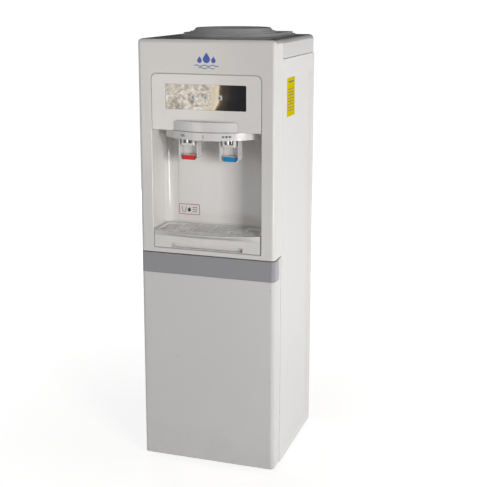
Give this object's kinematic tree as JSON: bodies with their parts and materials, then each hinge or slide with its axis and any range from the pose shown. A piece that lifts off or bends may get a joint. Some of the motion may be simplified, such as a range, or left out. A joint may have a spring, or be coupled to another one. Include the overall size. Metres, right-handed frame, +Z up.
{
  "type": "water cooler",
  "caption": "Free-standing bottled-water cooler with hot and cold push levers over a pull-out drip tray and a storage cabinet below.",
  "frame": {"origin": "middle of the footprint on the floor, below the middle of the overall depth and width", "axes": "+Z up, -Y towards the user at the front, +X to the right seen from the front"},
  "size_m": [0.31, 0.3574, 0.978],
  "materials": {
    "white_moulding": "satin gloss white",
    "white_steel": "smooth white powder coat",
    "grey_moulding": "fine satin dark grey",
    "grey_band": "satin slate grey",
    "smoked": "clear gloss over a smoked layer",
    "chrome": "bright plated",
    "red": "satin red",
    "blue": "satin blue",
    "stainless": "plain stainless steel",
    "zinc": "zinc-plated sheet",
    "aluminium": "plain extruded",
    "black": "moulded black",
    "rubber": "black rubber",
    "green_board": "green lacquer",
    "clear_hose": "milky silicone",
    "liner": "off-white, lightly textured",
    "ceramic": "white ceramic"
  },
  "bodies": {
    "cooler_body": {"alcove_liner": "white_moulding", "base_pan": "zinc", "bottle_seat": "grey_moulding", "bottle_spike": "white_moulding", "cabinet_liner": "liner", "cold_block": "aluminium", "cold_hose": "clear_hose", "cold_lever_pin": "stainless", "cold_lever_spring": "stainless", "cold_nozzle": "chrome", "cold_tank": "stainless", "cold_tap": "white_moulding", "cooling_module": "ceramic", "cord_gland": "black", "display_window": "smoked", "drain_hose": "clear_hose", "drain_outlet": "white_moulding", "fan_frame": "black", "feed_hose": "clear_hose", "foot_front_left": "rubber", "foot_front_right": "rubber", "foot_rear_left": "rubber", "foot_rear_right": "rubber", "heat_sink": "aluminium", "heater_band": "zinc", "hot_hose": "clear_hose", "hot_lever_pin": "stainless", "hot_lever_spring": "stainless", "hot_nozzle": "chrome", "hot_tank": "stainless", "hot_tap": "white_moulding", "indicator_board": "green_board", "left_side_panel": "white_steel", "lower_hinge": "zinc", "magnetic_catch": "black", "mid_shelf": "zinc", "power_supply": "zinc", "rear_panel": "white_steel", "right_side_panel": "white_steel", "switch_bezel": "black", "tank_stand": "white_moulding", "tap_hood": "white_moulding", "tap_visor": "white_moulding", "top_cover": "white_moulding", "upper_front_panel": "white_moulding", "upper_hinge": "zinc"},
    "hot_lever_unit": {"hot_lever": "white_moulding", "hot_badge": "red"},
    "cold_lever_unit": {"cold_lever": "white_moulding", "cold_badge": "blue"},
    "tray_unit": {"drip_tray": "white_moulding"},
    "grille_unit": {"drip_grille": "white_moulding"},
    "door_unit": {"door": "white_moulding", "door_band": "grey_band", "door_back": "liner", "door_strike": "stainless"},
    "hot_rocker": {"hot_switch": "red"},
    "cold_rocker": {"cold_switch": "blue"},
    "fan_wheel": {"fan_rotor": "black"},
    "drain_cap_unit": {"drain_cap": "white_moulding"}
  },
  "joints": [
    {"name": "hot_lever_pivot", "type": "hinge", "parent": "cooler_body", "child": "hot_lever_unit", "pos_m": [-0.0468, -0.11775, 0.777], "axis": [1, 0, 0], "range_deg": [0, 10], "stiffness_Nm_per_rad": 0.12, "springref_deg": -14.32},
    {"name": "cold_lever_pivot", "type": "hinge", "parent": "cooler_body", "child": "cold_lever_unit", "pos_m": [0.0468, -0.11775, 0.777], "axis": [1, 0, 0], "range_deg": [0, 10], "stiffness_Nm_per_rad": 0.12, "springref_deg": -14.32},
    {"name": "tray_slide", "type": "slide", "parent": "cooler_body", "child": "tray_unit", "axis": [0, -1, 0], "range_m": [0, 0.086]},
    {"name": "grille_lift", "type": "slide", "parent": "tray_unit", "child": "grille_unit", "axis": [0, 0, 1], "range_m": [0, 0.04]},
    {"name": "door_hinge", "type": "hinge", "parent": "cooler_body", "child": "door_unit", "pos_m": [-0.146, -0.11025, 0.0102], "axis": [0, 0, -1], "range_deg": [0, 100]},
    {"name": "hot_switch_rock", "type": "hinge", "parent": "cooler_body", "child": "hot_rocker", "pos_m": [0.075, 0.16175, 0.6845], "axis": [-1, 0, 0], "range_deg": [0, 16]},
    {"name": "cold_switch_rock", "type": "hinge", "parent": "cooler_body", "child": "cold_rocker", "pos_m": [0.095, 0.16175, 0.6845], "axis": [-1, 0, 0], "range_deg": [0, 16]},
    {"name": "fan_spin", "type": "hinge", "parent": "cooler_body", "child": "fan_wheel", "pos_m": [0, 0.14875, 0.8337], "axis": [0, 1, 0], "continuous": true},
    {"name": "drain_cap_pull", "type": "slide", "parent": "cooler_body", "child": "drain_cap_unit", "axis": [0, 1, 0], "range_m": [0, 0.025]}
  ]
}
